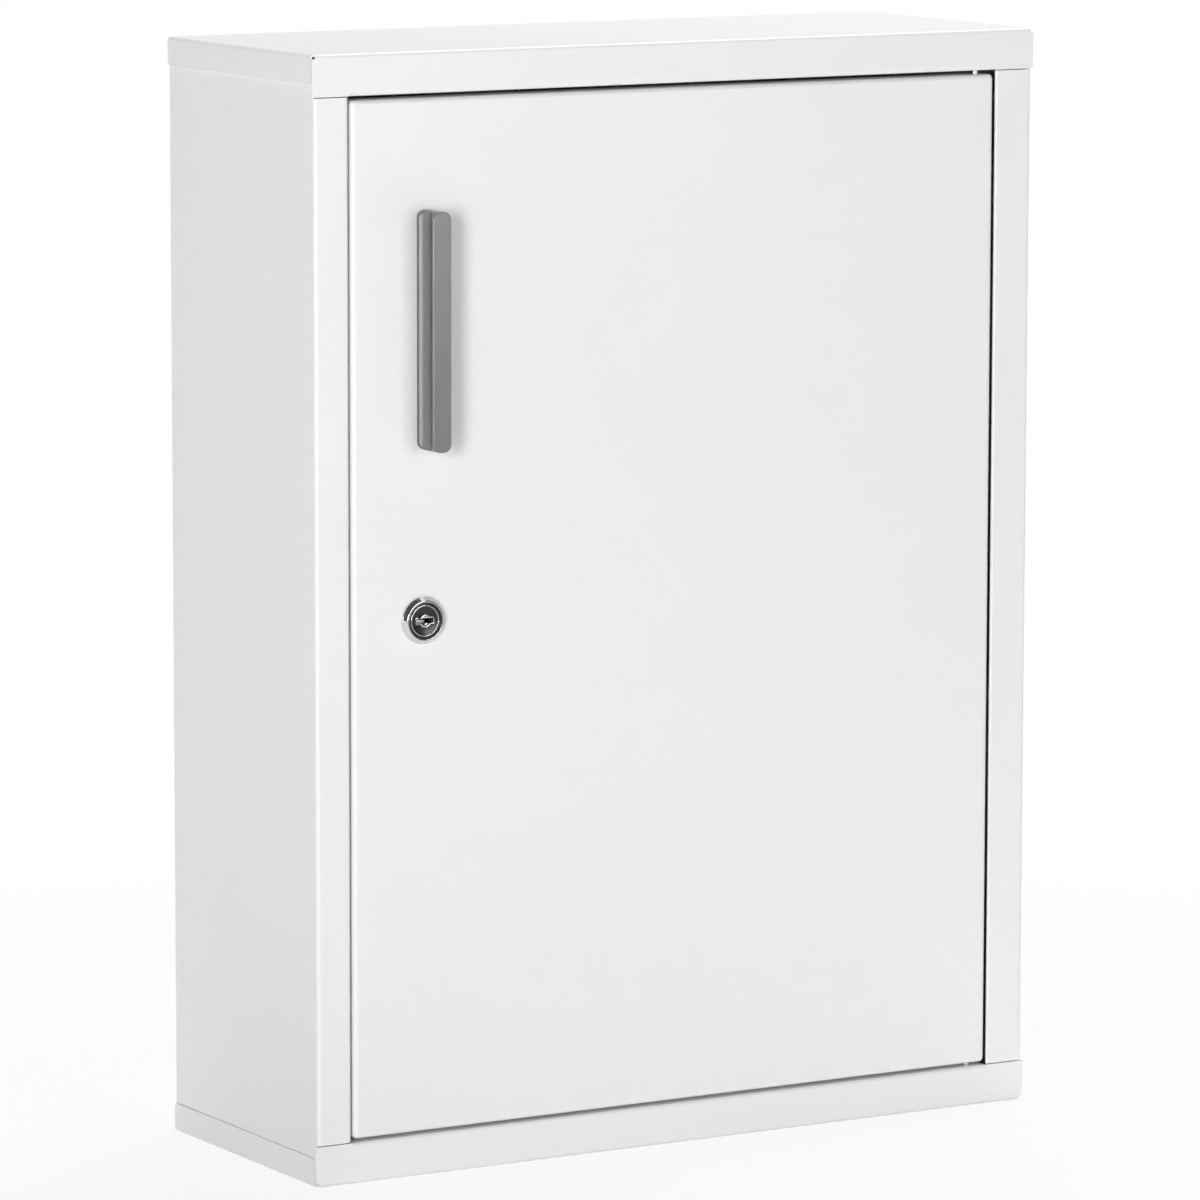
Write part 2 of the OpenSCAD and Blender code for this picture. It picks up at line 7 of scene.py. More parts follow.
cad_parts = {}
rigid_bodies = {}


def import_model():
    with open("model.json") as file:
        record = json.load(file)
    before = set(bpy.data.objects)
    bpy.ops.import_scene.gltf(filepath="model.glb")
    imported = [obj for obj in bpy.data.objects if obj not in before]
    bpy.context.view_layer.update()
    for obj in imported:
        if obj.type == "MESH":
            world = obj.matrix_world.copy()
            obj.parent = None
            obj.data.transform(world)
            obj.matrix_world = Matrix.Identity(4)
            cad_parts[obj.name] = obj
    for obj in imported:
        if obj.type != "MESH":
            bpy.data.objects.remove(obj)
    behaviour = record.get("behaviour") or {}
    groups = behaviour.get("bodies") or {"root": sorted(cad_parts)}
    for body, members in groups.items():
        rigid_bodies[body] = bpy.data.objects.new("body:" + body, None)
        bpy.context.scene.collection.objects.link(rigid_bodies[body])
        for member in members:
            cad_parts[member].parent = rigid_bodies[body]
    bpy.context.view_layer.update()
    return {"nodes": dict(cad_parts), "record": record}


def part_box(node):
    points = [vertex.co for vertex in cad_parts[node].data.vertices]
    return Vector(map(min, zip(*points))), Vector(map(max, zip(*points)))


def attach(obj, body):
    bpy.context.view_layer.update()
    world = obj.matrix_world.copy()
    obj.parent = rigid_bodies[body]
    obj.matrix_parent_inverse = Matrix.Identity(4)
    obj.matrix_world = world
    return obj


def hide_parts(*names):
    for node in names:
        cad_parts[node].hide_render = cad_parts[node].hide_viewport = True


# Lockable wall cabinet for medicines: finishes, small hardware, studio and camera.
# Metres. Seen from the front, X runs right, Y runs back to the wall and Z runs up.
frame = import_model()
bpy.ops.object.select_all(action="DESELECT")

MM = 0.001
# How far in mm a cutter stands out of the face that it starts from
CUT_PAST = 0.01


# Camera ---------------------------------------------------------------------------------

CAMERA_SENSOR = 36
# The photograph's viewpoint, to the left of the door and a little above its middle
CAMERA_TARGET = Vector((-0.039, -0.064, 0.232))
CAMERA_DISTANCE = 2.952
CAMERA_YAW = math.radians(30.44)
CAMERA_PITCH = math.radians(8.31)
CAMERA_ROLL = math.radians(0.11)
CAMERA_LENS = 215.7


def place_camera():
    """Long lens aimed at the door's left half, as the photograph was taken."""
    data = bpy.data.cameras.new("studio_camera")
    data.sensor_width = CAMERA_SENSOR
    data.lens = CAMERA_LENS
    camera = bpy.data.objects.new("studio_camera", data)
    bpy.context.scene.collection.objects.link(camera)
    turn = Matrix.Rotation(-CAMERA_YAW, 4, "Z")
    tilt = Matrix.Rotation(math.pi / 2 - CAMERA_PITCH, 4, "X")
    roll = Matrix.Rotation(CAMERA_ROLL, 4, "Z")
    aim = turn @ tilt @ roll
    behind = aim @ Vector((0, 0, CAMERA_DISTANCE))
    camera.matrix_world = Matrix.Translation(CAMERA_TARGET + behind) @ aim
    bpy.context.scene.camera = camera


# Node trees -----------------------------------------------------------------------------

def add_node(tree, kind, links=None, **settings):
    """Adds a shader node, sets its values by socket name or attribute, and links its inputs."""
    node = tree.nodes.new(kind)
    for name, value in settings.items():
        if hasattr(node, name):
            setattr(node, name, value)
        else:
            node.inputs[name.replace("_", " ").title()].default_value = value
    for name, source in (links or {}).items():
        tree.links.new(source, node.inputs[name])
    return node


def math_node(tree, operation, first, second=0.0):
    """One arithmetic step on two numbers or sockets."""
    node = tree.nodes.new("ShaderNodeMath")
    node.operation = operation
    for index, value in enumerate((first, second)):
        if isinstance(value, (int, float)):
            node.inputs[index].default_value = value
        else:
            tree.links.new(value, node.inputs[index])
    return node.outputs[0]


def spread(tree, value, low, high, source=(0.3, 0.7)):
    """Spreads a range of values, by default a noise texture's usual ones, over another."""
    node = add_node(tree, "ShaderNodeMapRange", {"Value": value})
    node.inputs["From Min"].default_value, node.inputs["From Max"].default_value = source
    node.inputs["To Min"].default_value, node.inputs["To Max"].default_value = low, high
    return node.outputs[0]


def surface_group(name, values):
    """Empty node group of a surface's texture, with its inputs, and shade, roughness and normal out."""
    group = bpy.data.node_groups.new(name, "ShaderNodeTree")
    for label, value in values.items():
        socket = group.interface.new_socket(label, in_out="INPUT", socket_type="NodeSocketFloat")
        socket.default_value = value
    for label, kind in (("Shade", "Float"), ("Roughness", "Float"), ("Normal", "Vector")):
        group.interface.new_socket(label, in_out="OUTPUT", socket_type="NodeSocket" + kind)
    return group, group.nodes.new("NodeGroupInput"), group.nodes.new("NodeGroupOutput")


def noise(tree, scale, detail=2.0, stretch=(1, 1, 1), turn=(0, 0, 0)):
    """Noise in the piece's own coordinates, with so many waves per metre, drawn out along an axis."""
    where = tree.nodes.new("ShaderNodeTexCoord")
    mapping = add_node(tree, "ShaderNodeMapping", {"Vector": where.outputs["Object"]})
    mapping.inputs["Scale"].default_value = stretch
    mapping.inputs["Rotation"].default_value = turn
    links = {"Vector": mapping.outputs[0]}
    return add_node(tree, "ShaderNodeTexNoise", links, Scale=scale, Detail=detail).outputs[0]


def relief(tree, height, depth):
    """Bump of a height between 0 and 1 with a depth in metres."""
    return add_node(tree, "ShaderNodeBump", {"Height": height}, Distance=depth)


def output_surface(tree, exit_node, shade, roughness, normal):
    """Connects the three results of a surface group."""
    for label, value in (("Shade", shade), ("Roughness", roughness), ("Normal", normal)):
        tree.links.new(value, exit_node.inputs[label])


def powder_coat_group():
    """Sprayed and baked coat: fine orange peel, slow drifts of tone and faint wipe marks."""
    tree, start, end = surface_group("powder_coat_skin", {"Roughness": 0.3, "Peel": 1.0})
    peel = noise(tree, 420, 1)
    bump = relief(tree, peel, 0.000003)
    tree.links.new(start.outputs["Peel"], bump.inputs["Strength"])
    shade = spread(tree, noise(tree, 5, 3), 0.993, 1.004)
    wipe = spread(tree, noise(tree, 9, 4, (1, 1, 0.3), (0, 0.4, 0)), -0.025, 0.03)
    mottle = spread(tree, noise(tree, 130, 3), -0.012, 0.012)
    rough = math_node(tree, "ADD", start.outputs["Roughness"], math_node(tree, "ADD", wipe, mottle))
    output_surface(tree, end, shade, rough, bump.outputs[0])
    return tree


def drawn_grain_group():
    """Grain of metal that was brushed along Z, with clouds left by the plating."""
    tree, start, end = surface_group("drawn_grain", {"Roughness": 0.3, "Depth": 1.0})
    lines = noise(tree, 2400, 2, (1, 1, 0.004))
    bump = relief(tree, lines, 0.0000006)
    tree.links.new(start.outputs["Depth"], bump.inputs["Strength"])
    cloud = noise(tree, 55, 4, (1, 1, 0.5))
    shade = math_node(tree, "MULTIPLY", spread(tree, cloud, 0.96, 1.04), spread(tree, lines, 0.965, 1.035))
    rough = math_node(tree, "ADD", start.outputs["Roughness"], spread(tree, cloud, -0.03, 0.03))
    output_surface(tree, end, shade, rough, bump.outputs[0])
    return tree


def plated_steel_group():
    """Barrel-plated small steel: crystal patches, tumbling marks and soft stains."""
    tree, start, end = surface_group("plated_steel", {"Roughness": 0.35, "Depth": 1.0})
    where = tree.nodes.new("ShaderNodeTexCoord")
    patches = add_node(tree, "ShaderNodeTexVoronoi", {"Vector": where.outputs["Object"]}, Scale=900)
    knock = noise(tree, 1400, 3)
    bump = relief(tree, knock, 0.000008)
    tree.links.new(start.outputs["Depth"], bump.inputs["Strength"])
    patch = spread(tree, patches.outputs["Distance"], 1.03, 0.95, (0, 0.8))
    shade = math_node(tree, "MULTIPLY", patch, spread(tree, noise(tree, 160, 4), 0.9, 1.06))
    rough = math_node(tree, "ADD", start.outputs["Roughness"], spread(tree, knock, -0.07, 0.09))
    output_surface(tree, end, shade, rough, bump.outputs[0])
    return tree


def polished_group():
    """Polished plating with a haze of hairline scratches in two directions."""
    tree, start, end = surface_group("polished_plating", {"Roughness": 0.06, "Depth": 1.0})
    first = noise(tree, 1500, 2, (1, 0.03, 1), (0.3, 0.2, 0.5))
    second = noise(tree, 1900, 2, (0.03, 1, 1), (0.6, 0.1, 0.9))
    marks = math_node(tree, "MAXIMUM", first, second)
    bump = relief(tree, marks, 0.0000006)
    tree.links.new(start.outputs["Depth"], bump.inputs["Strength"])
    shade = spread(tree, noise(tree, 300, 3), 0.97, 1.02)
    haze = spread(tree, marks, -0.015, 0.05, (0.5, 0.75))
    rough = math_node(tree, "ADD", start.outputs["Roughness"], haze)
    output_surface(tree, end, shade, rough, bump.outputs[0])
    return tree


def moulded_group():
    """Moulded skin of nylon, rubber or hard plastic: a fine matt texture with flow marks."""
    tree, start, end = surface_group("moulded_skin", {"Roughness": 0.5, "Depth": 1.0})
    pores = noise(tree, 3200, 3)
    bump = relief(tree, pores, 0.00001)
    tree.links.new(start.outputs["Depth"], bump.inputs["Strength"])
    flow = noise(tree, 110, 3, (1, 0.4, 1))
    shade = math_node(tree, "MULTIPLY", spread(tree, flow, 0.96, 1.03), spread(tree, pores, 0.97, 1.03))
    rough = math_node(tree, "ADD", start.outputs["Roughness"], spread(tree, pores, -0.05, 0.06))
    output_surface(tree, end, shade, rough, bump.outputs[0])
    return tree


# Studio ---------------------------------------------------------------------------------

WHITE = (1, 1, 1, 1)

# The room's light on matt surfaces, and its brightness mirrored in glossy ones
ROOM_LIGHT = 0.05
ROOM_REFLECTION = 0.10
# How far a direction points back, in parts of its length, where the mirrored room turns white
WHITE_BEHIND = (0.1, 0.6)

# Where the softboxes aim, in the middle of the cabinet
SOFTBOX_AIM = (0, 0, 0.25)

FLOOR_SIZE = 16
FLOOR_COLOR = (0.9, 0.9, 0.9, 1)
# Distances from the cabinet's middle between which the floor runs out to white
FLOOR_FADE = (0.22, 0.65)
# Share of plain white that the floor has close to the cabinet
FLOOR_WHITE_NEAR = 0.88
# Brightness of the mirrored floor in front, and where it rises to white on its way back
MIRRORED_FRONT = 0.34
MIRRORED_RISE_Y = (-1.4, -0.4)


def glossy_or_clear_ray(tree, ray):
    """1 for a ray that was mirrored by a glossy surface or went through a clear one."""
    return math_node(tree, "MAXIMUM", ray.outputs["Is Glossy Ray"], ray.outputs["Is Transmission Ray"])


def light_studio_air():
    """White background for the camera and behind the cabinet, and a dim room in front of it."""
    world = bpy.data.worlds.new("studio_air")
    bpy.context.scene.world = world
    world.use_nodes = True
    tree = world.node_tree
    tree.nodes.clear()
    ray = tree.nodes.new("ShaderNodeLightPath")
    where = tree.nodes.new("ShaderNodeTexCoord")
    split = add_node(tree, "ShaderNodeSeparateXYZ", {"Vector": where.outputs["Generated"]})
    behind = spread(tree, split.outputs["Y"], 0, 1, WHITE_BEHIND)
    mirrored = glossy_or_clear_ray(tree, ray)
    mirrored_white = math_node(tree, "MULTIPLY", mirrored, behind)
    seen = math_node(tree, "MAXIMUM", ray.outputs["Is Camera Ray"], mirrored_white)
    level = spread(tree, mirrored, ROOM_LIGHT, ROOM_REFLECTION, (0, 1))
    room = add_node(tree, "ShaderNodeBackground", {"Strength": level})
    white = add_node(tree, "ShaderNodeBackground", Strength=1.0)
    for background in (room, white):
        background.inputs["Color"].default_value = WHITE
    mix = tree.nodes.new("ShaderNodeMixShader")
    tree.links.new(seen, mix.inputs[0])
    tree.links.new(room.outputs[0], mix.inputs[1])
    tree.links.new(white.outputs[0], mix.inputs[2])
    output = tree.nodes.new("ShaderNodeOutputWorld")
    tree.links.new(mix.outputs[0], output.inputs["Surface"])


def softbox(name, place, width, height, watts):
    """Rectangular soft lamp aimed at the cabinet, which the camera doesn't see."""
    data = bpy.data.lights.new(name, "AREA")
    data.shape = "RECTANGLE"
    data.size = width
    data.size_y = height
    data.energy = watts
    lamp = bpy.data.objects.new(name, data)
    bpy.context.scene.collection.objects.link(lamp)
    lamp.location = place
    lamp.rotation_euler = (Vector(SOFTBOX_AIM) - Vector(place)).to_track_quat("-Z", "Y").to_euler()
    lamp.visible_camera = False


def hang_softboxes():
    """Key to the left in front, a wide fill in front, a strip at the left, one overhead, one behind."""
    softbox("key_softbox", (-2.34, -2.18, 0.66), 0.68, 1.25, 56)
    softbox("fill_softbox", (0.7, -3.2, 0.7), 1.6, 1.2, 28.5)
    softbox("strip_softbox", (-2.5, -0.32, 0.36), 0.16, 0.7, 5)
    softbox("top_softbox", (0.9, 0.6, 2.3), 1.6, 1.6, 46)
    softbox("back_softbox", (-1.3, 2.2, 1.7), 1.2, 1.2, 3)


def lay_floor():
    """Pale floor that runs out to white, keeps the cabinet's shadow, and is mirrored dim in front."""
    bpy.ops.mesh.primitive_plane_add(size=FLOOR_SIZE)
    floor = bpy.context.object
    floor.name = "studio_floor"
    material = bpy.data.materials.new("pale_floor")
    material.use_nodes = True
    tree = material.node_tree
    tree.nodes.clear()
    ray = tree.nodes.new("ShaderNodeLightPath")
    where = tree.nodes.new("ShaderNodeTexCoord")
    reach = add_node(tree, "ShaderNodeVectorMath", operation="LENGTH")
    tree.links.new(where.outputs["Object"], reach.inputs[0])
    fade = spread(tree, reach.outputs["Value"], FLOOR_WHITE_NEAR, 1, FLOOR_FADE)
    seen = math_node(tree, "MULTIPLY", fade, ray.outputs["Is Camera Ray"])
    glow = math_node(tree, "MAXIMUM", seen, glossy_or_clear_ray(tree, ray))
    split = add_node(tree, "ShaderNodeSeparateXYZ", {"Vector": where.outputs["Object"]})
    front = spread(tree, split.outputs["Y"], MIRRORED_FRONT, 1, MIRRORED_RISE_Y)
    strength = math_node(tree, "MAXIMUM", front, ray.outputs["Is Camera Ray"])
    matt = add_node(tree, "ShaderNodeBsdfDiffuse", Color=FLOOR_COLOR)
    white = add_node(tree, "ShaderNodeEmission", {"Strength": strength}, Color=WHITE)
    mix = tree.nodes.new("ShaderNodeMixShader")
    tree.links.new(glow, mix.inputs[0])
    tree.links.new(matt.outputs[0], mix.inputs[1])
    tree.links.new(white.outputs[0], mix.inputs[2])
    output = tree.nodes.new("ShaderNodeOutputMaterial")
    tree.links.new(mix.outputs[0], output.inputs["Surface"])
    floor.data.materials.append(material)
    bpy.ops.object.select_all(action="DESELECT")


# Finishes -------------------------------------------------------------------------------

def finish(name, group, color, second, metallic=0.0, **values):
    """Material whose colour goes between two tones and whose gloss and relief a group gives."""
    material = bpy.data.materials.new(name)
    material.use_nodes = True
    tree = material.node_tree
    shader = tree.nodes["Principled BSDF"]
    texture = add_node(tree, "ShaderNodeGroup", node_tree=group)
    for label, value in values.items():
        texture.inputs[label.title()].default_value = value
    drift = spread(tree, noise(tree, 38, 2), 0, 1)
    tone = add_node(tree, "ShaderNodeMix", data_type="RGBA")
    tree.links.new(drift, tone.inputs["Factor"])
    # In a colour mix, inputs 6 and 7 are the two colours and output 2 is the result
    tone.inputs[6].default_value = (*color, 1)
    tone.inputs[7].default_value = (*second, 1)
    shaded = add_node(tree, "ShaderNodeVectorMath", {0: tone.outputs[2]}, operation="SCALE")
    tree.links.new(texture.outputs["Shade"], shaded.inputs["Scale"])
    tree.links.new(shaded.outputs[0], shader.inputs["Base Color"])
    tree.links.new(texture.outputs["Roughness"], shader.inputs["Roughness"])
    tree.links.new(texture.outputs["Normal"], shader.inputs["Normal"])
    shader.inputs["Metallic"].default_value = metallic
    return material


COAT, GRAIN, PLATED, POLISHED, MOULDED = (
    powder_coat_group(), drawn_grain_group(), plated_steel_group(), polished_group(), moulded_group()
)
FINISHES = {
    "white_paint": finish(
        "white_powder_coat", COAT, (0.862, 0.868, 0.862), (0.856, 0.864, 0.859), roughness=0.34),
    "zinc_plate": finish(
        "bright_zinc", PLATED, (0.64, 0.66, 0.68), (0.66, 0.65, 0.6), 1, roughness=0.37),
    "rubber_pad": finish(
        "soft_rubber", MOULDED, (0.045, 0.045, 0.047), (0.06, 0.058, 0.056), roughness=0.68),
    "white_nylon": finish(
        "natural_nylon", MOULDED, (0.79, 0.78, 0.73), (0.82, 0.81, 0.77), roughness=0.42, depth=0.5),
    "black_nylon": finish(
        "black_nylon", MOULDED, (0.03, 0.03, 0.031), (0.04, 0.04, 0.041), roughness=0.5, depth=0.5),
    "pole_steel": finish(
        "pole_steel", GRAIN, (0.5, 0.5, 0.49), (0.44, 0.44, 0.44), 1, roughness=0.36),
    "satin_nickel": finish(
        "satin_nickel", GRAIN, (0.232, 0.24, 0.238), (0.223, 0.231, 0.229), 1, roughness=0.32, depth=0.4),
    "lock_chrome": finish(
        "lock_chrome", POLISHED, (0.67, 0.68, 0.67), (0.64, 0.65, 0.645), 1, roughness=0.06),
    # This black also paints the shade on the keyway's lining
    "lock_face": finish(
        "black_lock_face", MOULDED, (0.012, 0.012, 0.013), (0.02, 0.02, 0.021), roughness=0.2, depth=0.2),
    "ferrite": finish(
        "ferrite_magnet", PLATED, (0.055, 0.053, 0.052), (0.075, 0.072, 0.07), roughness=0.6),
}


def finish_cad_nodes():
    """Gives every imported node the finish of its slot."""
    for node in frame["nodes"].values():
        for slot in node.material_slots:
            slot.material = FINISHES[slot.material.name.split(".")[0]]


# Modelling ------------------------------------------------------------------------------

def select_only(piece):
    """Selects one piece and makes it the active one."""
    bpy.ops.object.select_all(action="DESELECT")
    piece.select_set(True)
    bpy.context.view_layer.objects.active = piece


def pick(piece, kind, wanted):
    """Goes into edit mode with just the edges or faces selected that pass a test."""
    select_only(piece)
    bpy.ops.object.mode_set(mode="EDIT")
    bpy.ops.mesh.select_mode(type=kind)
    bpy.ops.mesh.select_all(action="DESELECT")
    bpy.ops.object.mode_set(mode="OBJECT")
    for item in piece.data.edges if kind == "EDGE" else piece.data.polygons:
        item.select = wanted(item)
    bpy.ops.object.mode_set(mode="EDIT")


def close_up(piece):
    """Merges a piece's double points and turns its faces outwards."""
    select_only(piece)
    bpy.ops.object.mode_set(mode="EDIT")
    bpy.ops.mesh.select_all(action="SELECT")
    bpy.ops.mesh.remove_doubles(threshold=0.002 * MM)
    bpy.ops.mesh.normals_make_consistent(inside=False)
    bpy.ops.object.mode_set(mode="OBJECT")


def apply_modifier(piece, kind, **settings):
    """Adds a modifier with its settings and applies it."""
    modifier = piece.modifiers.new("step", kind)
    for name, value in settings.items():
        setattr(modifier, name, value)
    select_only(piece)
    bpy.ops.object.modifier_apply(modifier=modifier.name)


def cut_away(piece, *cutters):
    """Takes the cutters out of a piece and deletes them."""
    for cutter in cutters:
        apply_modifier(piece, "BOOLEAN", object=cutter, operation="DIFFERENCE", solver="EXACT")
        bpy.data.objects.remove(cutter)
    close_up(piece)


def round_edges(piece, width, segments=2, angle=35, clamp=True):
    """Rounds the edges that are sharper than an angle."""
    apply_modifier(
        piece, "BEVEL", width=width * MM, segments=segments, limit_method="ANGLE",
        angle_limit=math.radians(angle), use_clamp_overlap=clamp)


def shade(piece, angle=32):
    """Smooth shading across soft edges, with flat faces kept flat."""
    select_only(piece)
    bpy.ops.object.shade_smooth_by_angle(angle=math.radians(angle))
    apply_modifier(piece, "WEIGHTED_NORMAL", keep_sharp=True)


def settle(piece, place):
    """Carries a piece from its own axes into the cabinet's, and leaves it unmoved and unturned."""
    piece.matrix_world = place
    select_only(piece)
    bpy.ops.object.transform_apply(location=True, rotation=True, scale=True)


def block(name, size, center=(0, 0, 0)):
    """Rectangular block in mm."""
    bpy.ops.mesh.primitive_cube_add(size=1, location=Vector(center) * MM, scale=Vector(size) * MM)
    bpy.ops.object.transform_apply(location=True, rotation=True, scale=True)
    bpy.context.object.name = name
    return bpy.context.object


def rod(name, diameter, length, center=(0, 0, 0), turn=(0, 0, 0), sides=96):
    """Round bar in mm along Z, or turned."""
    bpy.ops.mesh.primitive_cylinder_add(
        vertices=sides, radius=diameter / 2 * MM, depth=length * MM, location=Vector(center) * MM,
        rotation=turn)
    bpy.ops.object.transform_apply(location=True, rotation=True, scale=True)
    bpy.context.object.name = name
    return bpy.context.object


def copy_of(piece, name):
    """Copy with its own mesh."""
    select_only(piece)
    bpy.ops.object.duplicate()
    bpy.context.object.name = name
    return bpy.context.object


def outline_points(corners, steps=4):
    """Points along an outline in mm, whose corners (radius, height, rounding) are drawn as arcs."""
    points = []
    for index, corner in enumerate(corners):
        here = Vector(corner[:2])
        if len(corner) < 3:
            points.append(here)
            continue
        before = Vector(corners[index - 1][:2]) - here
        after = Vector(corners[(index + 1) % len(corners)][:2]) - here
        reach = min(corner[2], 0.49 * before.length, 0.49 * after.length)
        start = here + before.normalized() * reach
        end = here + after.normalized() * reach
        for step in range(steps + 1):
            part = step / steps
            points.append(start.lerp(here, part).lerp(here.lerp(end, part), part))
    return points


def turned(name, corners, sides=96):
    """Body turned about Z from an outline in mm, closed unless it starts and ends on the axis."""
    points = [Vector((x, 0, z)) * MM for x, z in outline_points(corners)]
    if points[0].x > 0:
        points.append(points[0])
    bpy.ops.mesh.primitive_plane_add(size=MM)
    piece = bpy.context.object
    piece.name = name
    bpy.ops.object.mode_set(mode="EDIT")
    bpy.ops.mesh.select_mode(type="VERT")
    bpy.ops.mesh.merge(type="CENTER")
    bpy.ops.transform.translate(value=points[0])
    for start, end in zip(points, points[1:]):
        bpy.ops.mesh.extrude_region_move(TRANSFORM_OT_translate={"value": end - start})
    bpy.ops.mesh.select_all(action="SELECT")
    bpy.ops.mesh.spin(steps=sides, angle=2 * math.pi, center=(0, 0, 0), axis=(0, 0, 1))
    bpy.ops.object.mode_set(mode="OBJECT")
    close_up(piece)
    return piece


def thread(radius, depth, pitch, start, end):
    """Corners of a thread's crests and roots between two heights of an outline."""
    turns = int(abs(end - start) / pitch)
    step = (end - start) / turns
    corners = []
    for turn in range(turns):
        low = start + turn * step
        corners += [(radius - depth, low), (radius, low + 0.45 * step), (radius, low + 0.55 * step)]
    return corners


def fit_piece(piece, body, slot, *nodes):
    """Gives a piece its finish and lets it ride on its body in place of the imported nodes."""
    piece.data.materials.clear()
    piece.data.materials.append(FINISHES[slot])
    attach(piece, body)
    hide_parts(*nodes)


BODY_OF = {
    node: body for body, nodes in frame["record"]["behaviour"]["bodies"].items() for node in nodes
}
SLOT_OF = {entry["node"]: entry["material_slot"] for entry in frame["record"]["subparts"]}


# Sheet metal ----------------------------------------------------------------------------

SHEET_EDGE = 0.2
SHEETS = [
    "top_cap", "bottom_tray", "left_side_panel", "right_side_panel", "back_panel",
    "left_upper_ledge", "right_upper_ledge", "left_lower_ledge", "right_lower_ledge",
    "upper_shelf", "lower_shelf", "door_pan", "door_stiffener",
]
# Where the front rails' bends end beside the stiles, in metres, and how closely a point lies there
RAIL_STEP_X = (-0.1552, 0.1532)
RAIL_STEP_PLAY = 0.00002


def softened_copy(node, name, width, segments=2, clamp=False):
    """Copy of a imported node, its triangles merged into clean faces and its cut edges softened."""
    piece = copy_of(frame["nodes"][node], name)
    for key in list(piece.keys()):
        del piece[key]
    bpy.ops.object.parent_clear(type="CLEAR_KEEP_TRANSFORM")
    bpy.ops.mesh.customdata_custom_splitnormals_clear()
    close_up(piece)
    bpy.ops.object.mode_set(mode="EDIT")
    bpy.ops.mesh.select_mode(type="EDGE")
    bpy.ops.mesh.select_all(action="SELECT")
    bpy.ops.mesh.dissolve_limited(angle_limit=math.radians(0.5))
    bpy.ops.mesh.select_all(action="DESELECT")
    bpy.ops.mesh.edges_select_sharp(sharpness=math.radians(35))
    bpy.ops.object.mode_set(mode="OBJECT")
    weights = piece.data.attributes.new("bevel_weight_edge", "FLOAT", "EDGE")
    points = piece.data.vertices
    for edge in piece.data.edges:
        ends = [points[index].co for index in edge.vertices]
        # The end faces of a rail's bend, which taper to nothing, keep their sharp edges
        tapers = any(all(abs(end.x - x) < RAIL_STEP_PLAY for end in ends) for x in RAIL_STEP_X)
        weights.data[edge.index].value = float(edge.select and not tapers)
    apply_modifier(
        piece, "BEVEL", width=width * MM, segments=segments, limit_method="WEIGHT",
        use_clamp_overlap=clamp)
    shade(piece)
    fit_piece(piece, BODY_OF[node], SLOT_OF[node], node)


def make_sheets():
    """The folded sheets with their cut edges softened under the paint."""
    for node in SHEETS:
        softened_copy(node, node + "_sheet", SHEET_EDGE)


# Handle ---------------------------------------------------------------------------------

# In mm: the base and the front plate at their edges, and the scoop's depth between them
HANDLE_BASE = 1.8
HANDLE_PLATE = 1.6
HANDLE_SCOOP = 1.9
HANDLE_END_RADIUS = 3.4
HANDLE_EDGE = 0.32
HANDLE_BORE = 4
HANDLE_BORE_DEPTH = 9
# From the handle's middle to either screw
HANDLE_SCREW_REACH = 32


def make_handle():
    """Bar with rounded ends, a finger scoop down either side, and a bore for each screw."""
    low, high = (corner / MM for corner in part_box("handle"))
    size = high - low
    middle = (low + high) / 2
    bar = block("bar_handle", size, middle)
    points = bar.data.vertices
    pick(bar, "EDGE", lambda edge: points[edge.vertices[0]].co.y != points[edge.vertices[1]].co.y)
    bpy.ops.mesh.bevel(offset=HANDLE_END_RADIUS * MM, segments=10, affect="EDGES")
    bpy.ops.object.mode_set(mode="OBJECT")
    chord = size.y - HANDLE_BASE - HANDLE_PLATE
    radius = chord * chord / (8 * HANDLE_SCOOP) + HANDLE_SCOOP / 2
    scoop_y = high.y - HANDLE_BASE - chord / 2
    bore_y = high.y - HANDLE_BORE_DEPTH / 2 + CUT_PAST
    for side in (-1, 1):
        x = middle.x + side * (size.x / 2 - HANDLE_SCOOP + radius)
        cut_away(bar, rod("scoop", 2 * radius, 2 * size.z, (x, scoop_y, middle.z), sides=320))
        place = (middle.x, bore_y, middle.z + side * HANDLE_SCREW_REACH)
        cut_away(bar, rod("bore", HANDLE_BORE, HANDLE_BORE_DEPTH, place, (math.pi / 2, 0, 0), 32))
    round_edges(bar, HANDLE_EDGE, 3, 38, clamp=False)
    shade(bar, 30)
    fit_piece(bar, "door", "satin_nickel", "handle")


# Screws, washers and pins ---------------------------------------------------------------

def cross_screw(name, shank, length, head, height, recess):
    """Pan-head screw with a cross recess, its bearing face at 0 and its shank up along Z."""
    outline = [
        (0, -height), (0.3 * head, -height, 0.2 * head), (0.5 * head, -0.55 * height, 0.4 * height),
        (0.5 * head, 0, 0.12), (shank / 2, 0),
        *thread(shank / 2, depth=0.3, pitch=0.7, start=0.2, end=length - 0.8),
        (shank / 2 - 0.5, length), (0, length),
    ]
    screw = turned(name, outline, 48)
    arms = []
    for turn in (0, math.pi / 2):
        arm = block("recess", (recess, 0.2 * recess, 1.4 * height), (0, 0, -height))
        pick(arm, "FACE", lambda face: face.normal.z > 0.9)
        bpy.ops.transform.resize(value=(0.45, 0.6, 1), center_override=(0, 0, 0))
        bpy.ops.object.mode_set(mode="OBJECT")
        settle(arm, Matrix.Rotation(turn, 4, "Z"))
        arms.append(arm)
    cut_away(screw, *arms)
    shade(screw, 28)
    return screw


def facing(point, away):
    """Place of a screw or turned piece whose Z runs from a point in mm along a direction."""
    turn = Vector(away).to_track_quat("Z", "Y").to_matrix().to_4x4()
    return Matrix.Translation(Vector(point) * MM) @ turn


def middle_of(node, axis, side):
    """A coordinate in mm of the centre (side 0), low end (-1) or high end (1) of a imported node."""
    low, high = (corner[axis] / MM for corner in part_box(node))
    return {-1: low, 0: (low + high) / 2, 1: high}[side]


